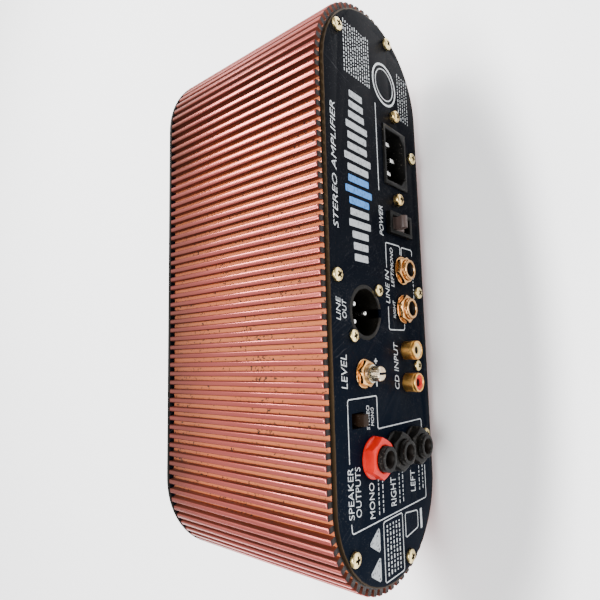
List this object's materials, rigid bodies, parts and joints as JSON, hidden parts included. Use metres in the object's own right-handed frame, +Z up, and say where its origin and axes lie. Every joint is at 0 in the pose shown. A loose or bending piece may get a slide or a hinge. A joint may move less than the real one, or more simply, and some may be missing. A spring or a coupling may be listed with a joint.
{
  "type": "compact stereo instrument power amplifier",
  "caption": "Ribbed metal sleeve with rounded ends, closed by a rear connector plate and a front control plate, with jacks, inlet, switches and knobs.",
  "frame": {"origin": "on the resting surface, under the middle of the sleeve's length and width", "axes": "+Z up; X along the long side; the connector plate faces -Y and the control plate faces +Y"},
  "size_m": [0.2478, 0.1208, 0.0833],
  "materials": {
    "anodised_copper": "anodised satin",
    "panel_black": "satin",
    "zinc_screws": "satin, yellow zinc",
    "black_screws": "black oxide",
    "rubber": "matte",
    "black_plastic": "satin",
    "contact_metal": "bright nickel",
    "brass": "worn bright",
    "grey_plastic": "satin",
    "red_plastic": "semi-gloss",
    "cream_plastic": "satin",
    "pot_metal": "plated",
    "knob_plastic": "satin",
    "pilot_red": "clear tinted",
    "circuit_board": "solder mask",
    "ferrite": "matte",
    "winding": "varnished",
    "capacitor_sleeve": "satin",
    "aluminium": "mill"
  },
  "bodies": {
    "body": {"shell": "anodised_copper", "rear_panel": "panel_black", "front_panel": "panel_black", "rear_panel_screws": "zinc_screws", "front_panel_screws": "black_screws", "rubber_feet": "rubber", "inlet_body": "black_plastic", "inlet_pins": "contact_metal", "inlet_screws": "brass", "power_switch_body": "black_plastic", "line_in_bodies": "black_plastic", "line_in_bushing_right": "brass", "line_in_bushing_left": "brass", "line_in_nuts": "brass", "line_in_washers": "brass", "speaker_jack_mono": "black_plastic", "speaker_jack_right": "black_plastic", "speaker_jack_left": "black_plastic", "speaker_nut_mono": "red_plastic", "speaker_nuts": "black_plastic", "xlr_body": "black_plastic", "xlr_pins": "contact_metal", "connector_screws": "zinc_screws", "phono_base": "black_plastic", "phono_shells": "brass", "phono_insert_red": "red_plastic", "phono_insert_white": "cream_plastic", "level_pot_body": "pot_metal", "level_pot_nut": "brass", "level_pot_washer": "brass", "mode_switch_body": "black_plastic", "front_pots": "pot_metal", "front_pot_nuts": "pot_metal", "instrument_jack": "black_plastic", "instrument_jack_nut": "pot_metal", "pilot_light": "pilot_red", "main_board": "circuit_board", "front_board": "circuit_board", "board_standoffs": "pot_metal", "board_screws": "pot_metal", "transformer_core": "ferrite", "transformer_winding": "winding", "bulk_capacitors": "capacitor_sleeve", "output_inductors": "winding", "heat_spreader": "aluminium", "power_transistors": "black_plastic"},
    "power_lever": {"power_rocker": "grey_plastic"},
    "level_control": {"level_pot_shaft": "pot_metal"},
    "mode_slider": {"mode_switch_slider": "black_plastic"},
    "gain_control": {"knob_gain": "knob_plastic", "shaft_gain": "pot_metal"},
    "bass_control": {"knob_bass": "knob_plastic", "shaft_bass": "pot_metal"},
    "mid_control": {"knob_mid": "knob_plastic", "shaft_mid": "pot_metal"},
    "treble_control": {"knob_treble": "knob_plastic", "shaft_treble": "pot_metal"},
    "volume_control": {"knob_volume": "knob_plastic", "shaft_volume": "pot_metal"}
  },
  "joints": [
    {"name": "power_rock", "type": "hinge", "parent": "body", "child": "power_lever", "pos_m": [0.0272, -0.044, 0.0285], "axis": [1, 0, 0], "range_deg": [0, 44]},
    {"name": "level_turn", "type": "hinge", "parent": "body", "child": "level_control", "pos_m": [-0.0379, -0.0485, 0.0598], "axis": [0, -1, 0], "range_deg": [-150, 150]},
    {"name": "mode_slide", "type": "slide", "parent": "body", "child": "mode_slider", "axis": [0, 0, 1], "range_m": [0, 0.0039]},
    {"name": "gain_turn", "type": "hinge", "parent": "body", "child": "gain_control", "pos_m": [0.048, 0.049, 0.0394], "axis": [0, 1, 0], "range_deg": [-150, 150]},
    {"name": "bass_turn", "type": "hinge", "parent": "body", "child": "bass_control", "pos_m": [0.022, 0.049, 0.0394], "axis": [0, 1, 0], "range_deg": [-150, 150]},
    {"name": "mid_turn", "type": "hinge", "parent": "body", "child": "mid_control", "pos_m": [-0.004, 0.049, 0.0394], "axis": [0, 1, 0], "range_deg": [-150, 150]},
    {"name": "treble_turn", "type": "hinge", "parent": "body", "child": "treble_control", "pos_m": [-0.03, 0.049, 0.0394], "axis": [0, 1, 0], "range_deg": [-150, 150]},
    {"name": "volume_turn", "type": "hinge", "parent": "body", "child": "volume_control", "pos_m": [-0.056, 0.049, 0.0394], "axis": [0, 1, 0], "range_deg": [-150, 150]}
  ]
}
